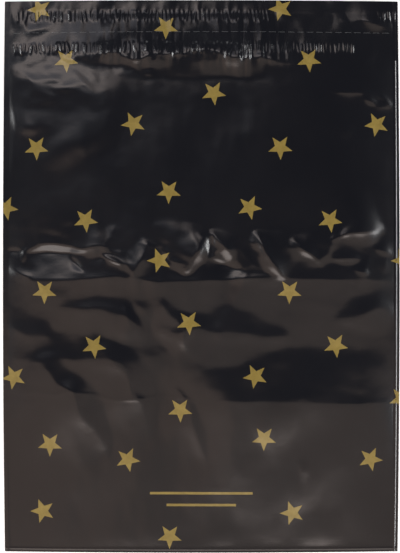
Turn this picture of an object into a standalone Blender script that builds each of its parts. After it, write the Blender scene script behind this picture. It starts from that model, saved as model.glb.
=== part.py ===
# Poly mailer bag, empty and lying flat, printed face up
#
# The bag is two sheets of thin film heat-sealed along both sides and the bottom. The front
# sheet is longer than the back one: what runs past the mouth is the closing flap. Under the
# flap are two strips of adhesive, each behind its own release liner, and between them a row
# of perforation cuts. The film is drawn into puckers over each strip of adhesive.
#
# Frame: metres, +X to the right of the printed face, +Y towards the flap, +Z up. The origin
# is on the table under the middle of the bag. Places on the flat sheet are given as x, from
# the middle line, and t, the distance down from the free edge of the flap.

import math

import bmesh
import bpy
from mathutils import Vector
from mathutils.geometry import delaunay_2d_cdt

MM = 0.001

# Film sizes
BAG_WIDTH = 250 * MM
POUCH_LENGTH = 300 * MM
FLAP_LENGTH = 50 * MM
FILM = 0.06 * MM
SIDE_BOW = 1.3 * MM
END_BOW = 0.9 * MM
WELD_INSET = 2.2 * MM

# Clearance between pieces that touch on the real bag
SEAT = 0.3 * MM

# How high the front sheet stands off the back one
FLAP_REST = 8 * MM
MOUTH_LOFT = 6.6 * MM
MOUTH_EASE = 15 * MM
CREASE_LOFT = 7.6 * MM
PILLOW_POWER = 4
STACK_EASE = 25 * MM

# Fold left by packing the bag in half
CREASE_FROM_FLAP_EDGE = 177 * MM
CREASE_RIDGE = 1.0 * MM
CREASE_SPREAD = 9 * MM

# Second fold, which stands up over the right part of the bag only
LOW_CREASE_FROM_FLAP_EDGE = 253.5 * MM
LOW_CREASE_SLANT = 6.5 * MM
LOW_CREASE_RIDGE = 3.2 * MM
LOW_CREASE_ABOVE = 36 * MM
LOW_CREASE_BELOW = 90 * MM
LOW_CREASE_START = 45 * MM
LOW_CREASE_GROWTH = 50 * MM
CREASE_POWER = 1.2

# Valley where the front sheet sinks over the mouth edge of the back one
MOUTH_VALLEY = 2 * MM
MOUTH_VALLEY_ABOVE = 11 * MM
MOUTH_VALLEY_BELOW = 110 * MM
MOUTH_VALLEY_LENGTH = 64 * MM
MOUTH_VALLEY_LEFT = 6 * MM

# Adhesive strips and their release liners, measured from the free edge of the flap
RETURN_STRIP_FROM_EDGE = 9.8 * MM
CLOSING_STRIP_FROM_EDGE = 30.4 * MM
ADHESIVE_WIDTH = 6.8 * MM
ADHESIVE_END_INSET = 5 * MM
ADHESIVE = 0.1 * MM
LINER_MARGIN = 3 * MM
LINER_END_INSET = 2.5 * MM
LINER = 0.08 * MM

# Puckers drawn up by the adhesive
PUCKER_PITCH = 2.9 * MM
PUCKER_HEIGHT = 0.32 * MM
PUCKER_FADE = 1.1 * MM
RETURN_PUCKERS_LEFT = 6.5 * MM
RETURN_PUCKERS_RIGHT = 84 * MM
CORNER_PUCKERS_LENGTH = 11 * MM
CORNER_PUCKERS_RIGHT = 4 * MM
CLOSING_PUCKERS_LEFT = 4 * MM
CLOSING_PUCKERS_RIGHT = 30 * MM

# Perforation across the flap
PERFORATION_FROM_EDGE = 20.3 * MM
PERFORATION_CUT = 4.2 * MM
PERFORATION_TIE = 1.8 * MM
PERFORATION_WIDTH = 0.35 * MM
PERFORATION_END = 4 * MM

# Print: gold stars in a repeat that drops half way across, and two plain rules. The first star
# is at the top left. The repeat is set by the stars like it at the right edge and the bottom.
PRINT = 0.05 * MM
STAR_RADIUS = 8 * MM
STAR_WAIST = 3.4 * MM
FIRST_STAR_FROM_LEFT_EDGE = 22.1 * MM
RIGHT_STAR_PAST_EDGE = 2.2 * MM
REPEATS_ACROSS = 1.5
FIRST_STAR_FROM_FLAP_EDGE = 5.4 * MM
BOTTOM_STAR_FROM_EDGE = 25.8 * MM
REPEATS_DOWN = 2
PRINT_EDGE_GAP = 0.1 * MM
RULE_THICKNESS = 1.6 * MM
LONG_RULE = 65 * MM
SHORT_RULE = 44 * MM
LONG_RULE_FROM_BOTTOM = 37.9 * MM
SHORT_RULE_FROM_BOTTOM = 30.4 * MM

# Spacing of the mesh over the soft surface
WIDE_STEP = 12.5 * MM
FINE_STEP = 6 * MM
FINE_REACH = 30 * MM
STRIP_STEP = 12 * MM

# Looks of the plain model
FILM_COLOUR = (0.012, 0.012, 0.014, 1)
GOLD_INK = (0.32, 0.24, 0.08, 1)
ADHESIVE_COLOUR = (0.75, 0.72, 0.6, 1)
LINER_COLOUR = (0.7, 0.7, 0.68, 1)

# One repeat of the star pattern: name, shares of the repeat across and down, turn in degrees
STAR_MOTIF = (
    ("a", 0.0, 0.0, -16),
    ("b", 0.525, 0.075, -1),
    ("c", 0.114, 0.206, 4),
    ("d", 0.722, 0.338, 6),
    ("e", 0.392, 0.459, -10),
    ("f", 0.994, 0.553, 2),
    ("g", 0.538, 0.728, -1),
    ("h", 0.868, 0.791, 11),
    ("i", 0.198, 0.841, 6),
)

# Stars that stand off their place in the repeat, by drop, copy across and name: shares of the
# repeat across and down
STAR_SHIFTS = {
    (1, 0, "b"): (0.006, 0.049),
    (1, -1, "b"): (0.004, 0.049),
    (1, 0, "c"): (0.006, 0.041),
    (1, -1, "d"): (0.01, 0.002),
    (1, -1, "e"): (0.008, 0.007),
    (1, -1, "f"): (0.09, 0.04),
    (1, -1, "g"): (0.01, 0.003),
    (1, 0, "g"): (-0.11, -0.023),
    (2, -1, "a"): (0.015, -0.002),
    (2, 0, "a"): (0.047, 0.003),
    (2, -1, "b"): (0.015, 0.022),
}
STARS_LEFT_OUT = {(1, 0, "i")}

# Wrinkles of the front sheet: x, t, direction in degrees, half length, half width, height
WRINKLES = (
    (-93 * MM, 158.5 * MM, 8, 17 * MM, 5 * MM, 0.9 * MM),
    (-64 * MM, 164.5 * MM, -24, 15 * MM, 5 * MM, 0.9 * MM),
    (-39 * MM, 166 * MM, -52, 10 * MM, 5 * MM, 0.7 * MM),
    (1 * MM, 157.5 * MM, 57, 12 * MM, 4.5 * MM, 1.0 * MM),
    (14 * MM, 158.5 * MM, -52, 13 * MM, 4.5 * MM, 0.9 * MM),
    (40 * MM, 165.5 * MM, -49, 15 * MM, 5 * MM, 0.9 * MM),
    (69 * MM, 155 * MM, -62, 15 * MM, 6 * MM, 0.6 * MM),
    (91 * MM, 158 * MM, -58, 14 * MM, 6 * MM, 0.6 * MM),
    (112 * MM, 150.5 * MM, 14, 10 * MM, 6 * MM, 0.7 * MM),
    (-80.5 * MM, 93 * MM, 30, 24 * MM, 9 * MM, 0.7 * MM),
    (-108 * MM, 77 * MM, -8, 14 * MM, 7 * MM, 0.6 * MM),
    (-64 * MM, 199 * MM, -8, 24 * MM, 6 * MM, 0.5 * MM),
    (-90 * MM, 227 * MM, 0, 45 * MM, 9 * MM, 0.8 * MM),
    (8 * MM, 210 * MM, -3, 28 * MM, 9 * MM, 0.8 * MM),
    (-78 * MM, 255 * MM, -50, 24 * MM, 7 * MM, 0.7 * MM),
    (-41 * MM, 242 * MM, -55, 24 * MM, 8 * MM, 0.7 * MM),
)

BAG_LENGTH = POUCH_LENGTH + FLAP_LENGTH
STARS_ACROSS = BAG_WIDTH - FIRST_STAR_FROM_LEFT_EDGE + RIGHT_STAR_PAST_EDGE
STARS_DOWN = BAG_LENGTH - FIRST_STAR_FROM_FLAP_EDGE - BOTTOM_STAR_FROM_EDGE
STAR_REPEAT_ACROSS = STARS_ACROSS / REPEATS_ACROSS
STAR_REPEAT_DOWN = STARS_DOWN / REPEATS_DOWN
HALF_WIDTH = BAG_WIDTH / 2
HALF_LENGTH = BAG_LENGTH / 2
FLAP_STACK = LINER + SEAT + ADHESIVE + SEAT
POUCH_STACK = FILM + SEAT


def clamp(value, low, high):
    return max(low, min(high, value))


def smooth_step(value):
    share = clamp(value, 0, 1)
    return share * share * (3 - 2 * share)


def laid_out(x, t):
    """Where a place on the flat sheet lies: both pairs of edges bow slightly outwards."""
    side = 1 + SIDE_BOW / HALF_WIDTH * (1 - ((t - HALF_LENGTH) / HALF_LENGTH) ** 2)
    end = 1 + END_BOW / HALF_LENGTH * (1 - (x / HALF_WIDTH) ** 2)
    return x * side, (HALF_LENGTH - t) * end


def loft_across(x):
    """The pouch swells like a pillow between its side welds."""
    share = clamp(abs(x) / (HALF_WIDTH - WELD_INSET), 0, 1)
    return 1 - share**PILLOW_POWER


def loft_down(t):
    """Height of the middle line: up the flap, on to the packing fold, then down to the bottom."""
    ease_end = FLAP_LENGTH + MOUTH_EASE
    bottom_weld = BAG_LENGTH - WELD_INSET
    if t <= ease_end:
        left = clamp((ease_end - t) / (ease_end - FLAP_REST), 0, 1)
        return MOUTH_LOFT * (1 - left * left)
    if t <= CREASE_FROM_FLAP_EDGE:
        share = (t - ease_end) / (CREASE_FROM_FLAP_EDGE - ease_end)
        return MOUTH_LOFT + (CREASE_LOFT - MOUTH_LOFT) * share
    share = (bottom_weld - t) / (bottom_weld - CREASE_FROM_FLAP_EDGE)
    return CREASE_LOFT * clamp(share, 0, 1)


def low_crease_line(x):
    return LOW_CREASE_FROM_FLAP_EDGE + LOW_CREASE_SLANT * x / BAG_WIDTH


def slope_sides(distance, above, below):
    """One on a crest, falling almost straight to nothing on each side of it."""
    reach = above if distance > 0 else below
    return clamp(1 - abs(distance) / reach, 0, 1) ** CREASE_POWER


def fold_ridges(x, t):
    """Ridges that the two folds leave."""
    crease = CREASE_RIDGE * math.exp(-abs(t - CREASE_FROM_FLAP_EDGE) / CREASE_SPREAD)
    growth = smooth_step((x + LOW_CREASE_START) / LOW_CREASE_GROWTH)
    sides = slope_sides(low_crease_line(x) - t, LOW_CREASE_ABOVE, LOW_CREASE_BELOW)
    return crease + LOW_CREASE_RIDGE * growth * sides


def mouth_valley(x, t):
    along = abs(x + MOUTH_VALLEY_LEFT) / MOUTH_VALLEY_LENGTH
    ends = 1 - smooth_step((along - 0.35) / 0.65)
    sides = slope_sides(FLAP_LENGTH - t, MOUTH_VALLEY_ABOVE, MOUTH_VALLEY_BELOW)
    return MOUTH_VALLEY * ends * sides


def wrinkle_height(x, t):
    total = 0.0
    for centre_x, centre_t, degrees, half_length, half_width, height in WRINKLES:
        turn = math.radians(degrees)
        right = x - centre_x
        up = centre_t - t
        along = (right * math.cos(turn) + up * math.sin(turn)) / half_length
        aside = (up * math.cos(turn) - right * math.sin(turn)) / half_width
        total += height * math.exp(-along * along - aside * aside)
    return total


def drape(x, t):
    """Underside of the front sheet, without its puckers."""
    stack = FLAP_STACK + (POUCH_STACK - FLAP_STACK) * smooth_step((t - FLAP_LENGTH) / STACK_EASE)
    free = smooth_step((BAG_LENGTH - WELD_INSET - t) / FLAP_REST)
    soft = loft_down(t) - mouth_valley(x, t) + free * (fold_ridges(x, t) + wrinkle_height(x, t))
    return stack + loft_across(x) * soft


def pucker_bands():
    """Each band of puckers: its middle, and its left and right ends."""
    corner_right = HALF_WIDTH - CORNER_PUCKERS_RIGHT
    return (
        (RETURN_STRIP_FROM_EDGE, RETURN_PUCKERS_LEFT - HALF_WIDTH, HALF_WIDTH - RETURN_PUCKERS_RIGHT),
        (RETURN_STRIP_FROM_EDGE, corner_right - CORNER_PUCKERS_LENGTH, corner_right),
        (CLOSING_STRIP_FROM_EDGE, CLOSING_PUCKERS_LEFT - HALF_WIDTH, HALF_WIDTH - CLOSING_PUCKERS_RIGHT),
    )


def pucker_cover(t):
    """The height that clears every pucker at this distance from the flap's edge."""
    cover = 0.0
    for middle, _, _ in pucker_bands():
        reach = ADHESIVE_WIDTH / 2 + 2 * PUCKER_FADE
        outside = clamp((abs(t - middle) - reach) / PUCKER_FADE, 0, 1)
        cover = max(cover, PUCKER_HEIGHT * (1 - outside))
    return cover


def pucker_points():
    """Points of the puckers' crests and valleys, as (x, t, extra height)."""
    points = []
    for middle, left, right in pucker_bands():
        crest_reach = ADHESIVE_WIDTH / 2 - PUCKER_FADE
        count = int((right - left) / (PUCKER_PITCH / 2))
        for index in range(count + 1):
            x = left + index * PUCKER_PITCH / 2
            height = PUCKER_HEIGHT * (index % 2)
            points.append((x, middle - crest_reach, height))
            points.append((x, middle + crest_reach, height))
    return points


def evenly(start, end, step):
    """Values from start to end, both included, about one step apart."""
    count = max(1, round(abs(end - start) / step))
    return [start + (end - start) * index / count for index in range(count + 1)]


def rectangle_loop(left, right, near, far, step):
    """Points round a rectangle on the flat sheet, from its near left corner."""
    loop = [(x, near) for x in evenly(left, right, step)[:-1]]
    loop += [(right, t) for t in evenly(near, far, step)[:-1]]
    loop += [(x, far) for x in evenly(right, left, step)[:-1]]
    loop += [(left, t) for t in evenly(far, near, step)[:-1]]
    return loop


def perforation_cuts():
    """Small slots in one row across the flap, centred on the bag."""
    pitch = PERFORATION_CUT + PERFORATION_TIE
    count = int((BAG_WIDTH - 2 * PERFORATION_END + PERFORATION_TIE) / pitch)
    start = -(count * pitch - PERFORATION_TIE) / 2
    near = PERFORATION_FROM_EDGE - PERFORATION_WIDTH / 2
    far = PERFORATION_FROM_EDGE + PERFORATION_WIDTH / 2
    cuts = []
    for index in range(count):
        left = start + index * pitch
        right = left + PERFORATION_CUT
        cuts.append([(left, near), (right, near), (right, far), (left, far)])
    return cuts


def inside_loop(x, t, loop):
    inside = False
    for (x1, t1), (x2, t2) in zip(loop, loop[1:] + loop[:1]):
        if (t1 > t) != (t2 > t) and x < (x2 - x1) * (t - t1) / (t2 - t1) + x1:
            inside = not inside
    return inside


def triangulate(outline, holes, lines, points):
    """Triangles over a flat outline, less its holes, that keep to the given lines and points."""
    places = []
    edges = []
    for loop in [outline] + holes:
        first = len(places)
        places += loop
        edges += [(first + i, first + (i + 1) % len(loop)) for i in range(len(loop))]
    for line in lines:
        first = len(places)
        places += line
        edges += [(first + i, first + i + 1) for i in range(len(line) - 1)]
    places += points
    flat = [Vector((x / MM, t / MM)) for x, t in places]
    found, _, faces, _, _, _ = delaunay_2d_cdt(flat, edges, [], 1, 1e-4)
    corners = [(place.x * MM, place.y * MM) for place in found]
    kept = []
    for face in faces:
        middle_x = sum(corners[i][0] for i in face) / 3
        middle_t = sum(corners[i][1] for i in face) / 3
        if not any(inside_loop(middle_x, middle_t, hole) for hole in holes):
            kept.append(tuple(face))
    return corners, largest_patch(kept)


def largest_patch(faces):
    """The largest group of faces that join edge to edge."""
    neighbours = {}
    for index, (a, b, c) in enumerate(faces):
        for edge in ((a, b), (b, c), (c, a)):
            neighbours.setdefault(frozenset(edge), []).append(index)
    left = set(range(len(faces)))
    patches = []
    while left:
        waiting = [left.pop()]
        patch = []
        while waiting:
            index = waiting.pop()
            patch.append(index)
            a, b, c = faces[index]
            for edge in ((a, b), (b, c), (c, a)):
                for other in neighbours[frozenset(edge)]:
                    if other in left:
                        left.remove(other)
                        waiting.append(other)
        patches.append(sorted(patch))
    return [faces[index] for index in max(patches, key=len)]


def sheet_solid(name, material, corners, faces, underside, thickness):
    """A closed sheet of one thickness over flat triangles, laid at the heights of its underside."""
    mesh = bmesh.new()
    low = []
    high = []
    for x, t in corners:
        place_x, place_y = laid_out(x, t)
        height = underside(x, t)
        low.append(mesh.verts.new((place_x, place_y, height)))
        high.append(mesh.verts.new((place_x, place_y, height + thickness)))
    open_edges = {}
    for a, b, c in faces:
        mesh.faces.new((high[a], high[b], high[c]))
        mesh.faces.new((low[c], low[b], low[a]))
        for start, end in ((a, b), (b, c), (c, a)):
            if (end, start) in open_edges:
                del open_edges[(end, start)]
            else:
                open_edges[(start, end)] = True
    for start, end in open_edges:
        mesh.faces.new((low[start], low[end], high[end], high[start]))
    bmesh.ops.delete(mesh, geom=[v for v in mesh.verts if not v.link_faces], context="VERTS")
    bmesh.ops.recalc_face_normals(mesh, faces=mesh.faces)
    data = bpy.data.meshes.new(name)
    mesh.to_mesh(data)
    mesh.free()
    data.materials.append(material)
    data.shade_smooth()
    data.set_sharp_from_angle(angle=math.radians(40))
    item = bpy.data.objects.new(name, data)
    bpy.context.scene.collection.objects.link(item)
    return item


def make_material(name, colour, roughness):
    material = bpy.data.materials.new(name)
    material.use_nodes = True
    shader = material.node_tree.nodes["Principled BSDF"]
    shader.inputs["Base Color"].default_value = colour
    shader.inputs["Roughness"].default_value = roughness
    shader.inputs["Metallic"].default_value = 0.0
    return material


def front_sheet(material):
    """The printed sheet: front of the pouch and the flap in one piece."""
    outline = rectangle_loop(-HALF_WIDTH, HALF_WIDTH, 0, BAG_LENGTH, WIDE_STEP)
    weld_side = HALF_WIDTH - WELD_INSET
    weld = [(-weld_side, t) for t in evenly(FLAP_LENGTH, BAG_LENGTH - WELD_INSET, WIDE_STEP)]
    weld += [(x, BAG_LENGTH - WELD_INSET) for x in evenly(-weld_side, weld_side, WIDE_STEP)[1:]]
    weld += [(weld_side, t) for t in evenly(BAG_LENGTH - WELD_INSET, FLAP_LENGTH, WIDE_STEP)[1:]]
    across = evenly(-weld_side, weld_side, FINE_STEP)[1:-1]
    crease = [(x, CREASE_FROM_FLAP_EDGE) for x in across]
    low_crease = [(x, low_crease_line(x)) for x in across[::2]]
    mouth = [(x, FLAP_LENGTH) for x in across[::2]]
    cuts = perforation_cuts()

    points = []
    for middle in (RETURN_STRIP_FROM_EDGE, CLOSING_STRIP_FROM_EDGE):
        points += [(x, middle - ADHESIVE_WIDTH / 2) for x in across]
        points += [(x, middle + ADHESIVE_WIDTH / 2) for x in across]
    raised = {}
    for x, t, height in pucker_points():
        points.append((x, t))
        raised[(round(x / MM, 3), round(t / MM, 3))] = height

    soft_start = CLOSING_STRIP_FROM_EDGE + ADHESIVE_WIDTH / 2 + FINE_STEP
    fine_start = CREASE_FROM_FLAP_EDGE - FINE_REACH
    wide_rows = [soft_start] + evenly(FLAP_LENGTH + FINE_STEP, fine_start, WIDE_STEP)
    wide_rows += evenly(CREASE_FROM_FLAP_EDGE + FINE_STEP, BAG_LENGTH - 2 * FINE_STEP, WIDE_STEP)
    fine_rows = evenly(fine_start, CREASE_FROM_FLAP_EDGE, FINE_STEP)[1:-1]
    wide_across = evenly(-weld_side, weld_side, WIDE_STEP)[1:-1]
    points += [(x, t) for t in fine_rows for x in across]
    for t in wide_rows:
        points += [(x, t) for x in wide_across if abs(t - low_crease_line(x)) > FINE_STEP / 2]

    def underside(x, t):
        return drape(x, t) + raised.get((round(x / MM, 3), round(t / MM, 3)), 0.0)

    corners, faces = triangulate(outline, cuts, [weld, mouth, crease, low_crease], points)
    return sheet_solid("front_sheet", material, corners, faces, underside, FILM)


def back_sheet(material):
    """The plain sheet that the bag lies on, from the mouth to the bottom."""
    outline = rectangle_loop(-HALF_WIDTH, HALF_WIDTH, FLAP_LENGTH, BAG_LENGTH, WIDE_STEP)
    corners, faces = triangulate(outline, [], [], [])
    return sheet_solid("back_sheet", material, corners, faces, lambda x, t: 0.0, FILM)


def strip_under_flap(name, material, middle, width, end_inset, drop, thickness):
    """A strip that follows the underside of the flap, its own underside lying drop below it."""
    side = HALF_WIDTH - end_inset
    outline = rectangle_loop(-side, side, middle - width / 2, middle + width / 2, STRIP_STEP)
    middle_row = [(x, middle) for x in evenly(-side, side, STRIP_STEP)[1:-1]]
    corners, faces = triangulate(outline, [], [], middle_row)
    return sheet_solid(name, material, corners, faces, lambda x, t: drape(x, t) - drop, thickness)


def closing_strips(adhesive_material, liner_material):
    """Two strips of adhesive on the flap, each with its release liner."""
    adhesive_drop = SEAT + ADHESIVE
    liner_drop = FLAP_STACK
    liner_width = ADHESIVE_WIDTH + 2 * LINER_MARGIN
    for use, middle in (("return", RETURN_STRIP_FROM_EDGE), ("closing", CLOSING_STRIP_FROM_EDGE)):
        strip_under_flap(
            use + "_adhesive", adhesive_material, middle, ADHESIVE_WIDTH,
            ADHESIVE_END_INSET, adhesive_drop, ADHESIVE)
        strip_under_flap(
            use + "_liner", liner_material, middle, liner_width,
            LINER_END_INSET, liner_drop, LINER)


def star_loop(centre_x, centre_t, degrees):
    """Five points, one of them towards the bottom of the bag when not turned."""
    loop = []
    for index in range(10):
        radius = STAR_WAIST if index % 2 else STAR_RADIUS
        angle = math.radians(-90 + degrees + 36 * index)
        loop.append((centre_x + radius * math.cos(angle), centre_t - radius * math.sin(angle)))
    return loop


def cut_at_line(loop, keeps, meets):
    """The part of a loop on the side that is kept, with new points where it meets the line."""
    result = []
    for start, end in zip(loop, loop[1:] + loop[:1]):
        if keeps(start):
            result.append(start)
        if keeps(start) != keeps(end):
            result.append(meets(start, end))
    return result


def cut_to_sheet(loop):
    """A printed shape that runs off the sheet stops at its edge."""
    side = HALF_WIDTH - PRINT_EDGE_GAP
    near = PRINT_EDGE_GAP
    far = BAG_LENGTH - PRINT_EDGE_GAP

    def meet_x(limit):
        return lambda a, b: (limit, a[1] + (b[1] - a[1]) * (limit - a[0]) / (b[0] - a[0]))

    def meet_t(limit):
        return lambda a, b: (a[0] + (b[0] - a[0]) * (limit - a[1]) / (b[1] - a[1]), limit)

    loop = cut_at_line(loop, lambda p: p[0] < side, meet_x(side))
    loop = cut_at_line(loop, lambda p: p[0] > -side, meet_x(-side))
    loop = cut_at_line(loop, lambda p: p[1] > near, meet_t(near))
    return cut_at_line(loop, lambda p: p[1] < far, meet_t(far))


def on_print(x, t):
    """Underside of the print, clear of the film and its puckers."""
    return drape(x, t) + FILM + pucker_cover(t) + SEAT


def printed_stars(material):
    """Every star of the repeat that shows on the sheet, named by drop, letter and copy across."""
    drops = int(BAG_LENGTH / STAR_REPEAT_DOWN) + 1
    columns = int(BAG_WIDTH / STAR_REPEAT_ACROSS) + 2
    for drop in range(drops):
        for letter, across, down, turn in STAR_MOTIF:
            for column in range(-columns, columns):
                if (drop, column, letter) in STARS_LEFT_OUT:
                    continue
                shift_across, shift_down = STAR_SHIFTS.get((drop, column, letter), (0.0, 0.0))
                repeats_across = across + drop / 2 + column + shift_across
                repeats_down = down + drop + shift_down
                x = FIRST_STAR_FROM_LEFT_EDGE - HALF_WIDTH + repeats_across * STAR_REPEAT_ACROSS
                t = FIRST_STAR_FROM_FLAP_EDGE + repeats_down * STAR_REPEAT_DOWN
                overrun = STAR_RADIUS / 2
                if abs(x) > HALF_WIDTH + overrun or t > BAG_LENGTH + overrun:
                    continue
                loop = cut_to_sheet(star_loop(x, t, turn))
                inner = [(x, t)] if inside_loop(x, t, loop) else []
                corners, faces = triangulate(loop, [], [], inner)
                name = f"star_{drop + 1}_{letter}_{column + columns}"
                sheet_solid(name, material, corners, faces, on_print, PRINT)


def printed_rules(material):
    """Two plain rules, one above the other, near the bottom of the bag."""
    for name, length, from_bottom in (
        ("long_rule_print", LONG_RULE, LONG_RULE_FROM_BOTTOM),
        ("short_rule_print", SHORT_RULE, SHORT_RULE_FROM_BOTTOM),
    ):
        middle = BAG_LENGTH - from_bottom
        half = RULE_THICKNESS / 2
        outline = rectangle_loop(-length / 2, length / 2, middle - half, middle + half, STRIP_STEP)
        corners, faces = triangulate(outline, [], [], [])
        sheet_solid(name, material, corners, faces, on_print, PRINT)


def clear_scene():
    for item in list(bpy.data.objects):
        bpy.data.objects.remove(item, do_unlink=True)


def build():
    clear_scene()
    film = make_material("black_film", FILM_COLOUR, 0.3)
    gold = make_material("gold_ink", GOLD_INK, 0.45)
    adhesive = make_material("hot_melt", ADHESIVE_COLOUR, 0.5)
    liner = make_material("release_liner", LINER_COLOUR, 0.4)
    front_sheet(film)
    back_sheet(film)
    closing_strips(adhesive, liner)
    printed_stars(gold)
    printed_rules(gold)


build()
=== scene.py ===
# Looks of the poly mailer bag: glossy black film with gold stars, lying flat on a pale floor
#
# Lengths are in millimetres on the flat sheet: x from the middle line, t down from the free
# edge of the flap. They become metres when a mesh is made.

import math

import bpy
import numpy as np
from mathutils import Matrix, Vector
from mathutils.bvhtree import BVHTree
from mathutils.geometry import delaunay_2d_cdt

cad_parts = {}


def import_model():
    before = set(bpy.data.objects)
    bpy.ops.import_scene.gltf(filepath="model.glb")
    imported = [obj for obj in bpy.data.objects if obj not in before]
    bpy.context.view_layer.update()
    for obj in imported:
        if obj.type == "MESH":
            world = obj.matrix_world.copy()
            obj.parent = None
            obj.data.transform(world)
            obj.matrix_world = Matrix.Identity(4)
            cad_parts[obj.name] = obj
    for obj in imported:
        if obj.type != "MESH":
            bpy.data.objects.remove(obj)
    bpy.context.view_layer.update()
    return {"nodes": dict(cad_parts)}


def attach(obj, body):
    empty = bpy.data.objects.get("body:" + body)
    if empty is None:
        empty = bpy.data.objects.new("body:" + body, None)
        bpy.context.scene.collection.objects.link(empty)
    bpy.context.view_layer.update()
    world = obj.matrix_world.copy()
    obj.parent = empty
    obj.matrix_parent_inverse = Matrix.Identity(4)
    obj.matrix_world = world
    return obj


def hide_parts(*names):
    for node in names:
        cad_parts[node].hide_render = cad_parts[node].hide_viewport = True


MM = 0.001

# Film sizes, the same as in the CAD part
BAG_WIDTH = 250.0
POUCH_LENGTH = 300.0
FLAP_LENGTH = 50.0
FILM = 0.06
SIDE_BOW = 1.3
END_BOW = 0.9
WELD_INSET = 2.2
SEAT = 0.3

# How high the front sheet stands off the back one
FLAP_REST = 8.0
MOUTH_LOFT = 6.6
MOUTH_EASE = 15.0
CREASE_LOFT = 7.6
PILLOW_POWER = 4
WELD_POWER = 16
STACK_EASE = 25.0
ADHESIVE = 0.1
LINER = 0.08

# The packing fold, the second fold and the valley at the mouth. The last two differ a little from
# the CAD part, to reflect the lights as the photographed film does.
CREASE_T = 177.0
CREASE_DRIFT_X = (-125, -80, -52, -27, 0, 50, 125)
CREASE_DRIFT_T = (0.3, 0.2, -2.2, 1.8, 0.8, -1.2, 0.9)
CREASE_RIDGE = 1.0
CREASE_SPREAD = 9.0
LOW_CREASE_T = 253.5
LOW_CREASE_SLANT = 6.5
LOW_CREASE_RIDGE = 3.2
LOW_CREASE_ABOVE = 36.0
LOW_CREASE_BELOW = 90.0
LOW_CREASE_START = 36.0
LOW_CREASE_GROWTH = 50.0
LOW_CREASE_LEAN = 0.9
LEAN_PIVOT = 14.0
LEAN_LEAST = -14.0
LEAN_MOST = 30.0
CREASE_POWER = 1.2
CREASE_END_WIDTH = 0.25
MOUTH_VALLEY = 1.2
MOUTH_VALLEY_ABOVE = 11.0
MOUTH_VALLEY_BELOW = 110.0
MOUTH_VALLEY_LENGTH = 64.0
MOUTH_VALLEY_LEFT = 6.0
MOUTH_VALLEY_FULL = 0.35

# Strips and puckers
RETURN_STRIP_T = 9.8
CLOSING_STRIP_T = 30.4
ADHESIVE_WIDTH = 6.8
PUCKER_PITCH = 2.5
PUCKER_HEIGHT = 0.45
PUCKER_WIDTH = 0.5
PUCKER_FADE = 0.6
PUCKER_WINDOW = 0.95
PUCKER_WINDOW_POWER = 6
PUCKER_SLANT = 0.22
PUCKER_SHIFT = 0.8
PUCKER_SEED = 7
GATHER_PITCH = 6.0
GATHER_WIDTH = 1.8
GATHER_HEIGHT = 0.28
GATHER_REACH = 6.5
GATHER_SLANT = 0.3
GATHER_SHIFT = 3
GATHER_SEED = 11

# Least and greatest share of the pitch, width and height that one pucker or gather can have
PUCKER_PITCHES = (0.7, 1.3)
PUCKER_WIDTHS = (0.75, 1.4)
PUCKER_HEIGHTS = (0.45, 1.25)
GATHER_PITCHES = (0.6, 1.4)
GATHER_WIDTHS = (0.7, 1.3)
GATHER_HEIGHTS = (0.4, 1.2)

# Runs of puckers and of gathers: t of the middle, x of the left and right end
PUCKER_BANDS = (
    (RETURN_STRIP_T, -118.5, 41.0),
    (RETURN_STRIP_T, 110.0, 121.0),
    (CLOSING_STRIP_T, -121.0, 95.0),
)
GATHER_BANDS = (
    (RETURN_STRIP_T, -124, 30),
    (CLOSING_STRIP_T, -124, 60),
)

# Ridge of melted film along the welds
BEAD_LEFT = 0.16
BEAD_RIGHT = 0.31
BEAD_WIDTH = 0.8

# Perforation
PERFORATION_T = 20.3
PERFORATION_CUT = 4.2
PERFORATION_TIE = 1.8
PERFORATION_WIDTH = 0.07
PERFORATION_END = 4.0

# Print. It is thinner than in the CAD part, and lifted so that it shows over the film.
PRINT = 0.03
PRINT_LIFT = 0.02
STAR_RADIUS = 8.0
STAR_WAIST = 3.4
STAR_POINTS = 5
STAR_GRID = 0.9
STAR_OVERRUN = STAR_RADIUS / 2
POINT_CLEARANCE = 0.55
POINT_ROW = 0.87
RAY_START = 0.05
FIRST_STAR_FROM_LEFT_EDGE = 22.1
RIGHT_STAR_PAST_EDGE = 2.2
REPEATS_ACROSS = 1.5
FIRST_STAR_T = 5.4
BOTTOM_STAR_FROM_EDGE = 25.8
REPEATS_DOWN = 2
PRINT_EDGE_GAP = 0.1
RULE_THICKNESS = 1.6
LONG_RULE = 65.0
SHORT_RULE = 44.0
LONG_RULE_FROM_BOTTOM = 37.9
SHORT_RULE_FROM_BOTTOM = 30.4

# Mesh spacing
FLAP_COLUMN = 0.6
FLAP_COLUMN_MARGIN = 0.3
FLAP_MESH_END = 37.0
POUCH_MESH_START = 38.1
POUCH_STEP = 1.25
STRIP_ROW_STEP = 0.8
SHARP_ANGLE = 60

# Rows of the flap by their distance from its free edge, apart from the close ones over the strips
FREE_EDGE_ROWS = [0.0, 0.4, 1.0, 2.2, 3.6, 5.0]
RETURN_STRIP_ROWS = (5.8, 13.9)
ABOVE_SLOT_ROWS = [15.0, 16.5, 18.0, 19.3]
BELOW_SLOT_ROWS = [21.3, 22.7, 24.2, 25.5]
CLOSING_STRIP_ROWS = (26.3, 34.4)
FLAP_FOOT_ROWS = [35.6, FLAP_MESH_END]

# Rows of the pouch, closest where the film is creased: start, end, step
POUCH_ROWS = (
    (POUCH_MESH_START, 72.0, 1.4),
    (72.0, 140.0, 3.0),
    (140.0, 182.0, 1.05),
    (182.0, 244.0, 2.3),
    (244.0, 256.0, 1.1),
    (256.0, 343.0, 3.9),
)

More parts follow.
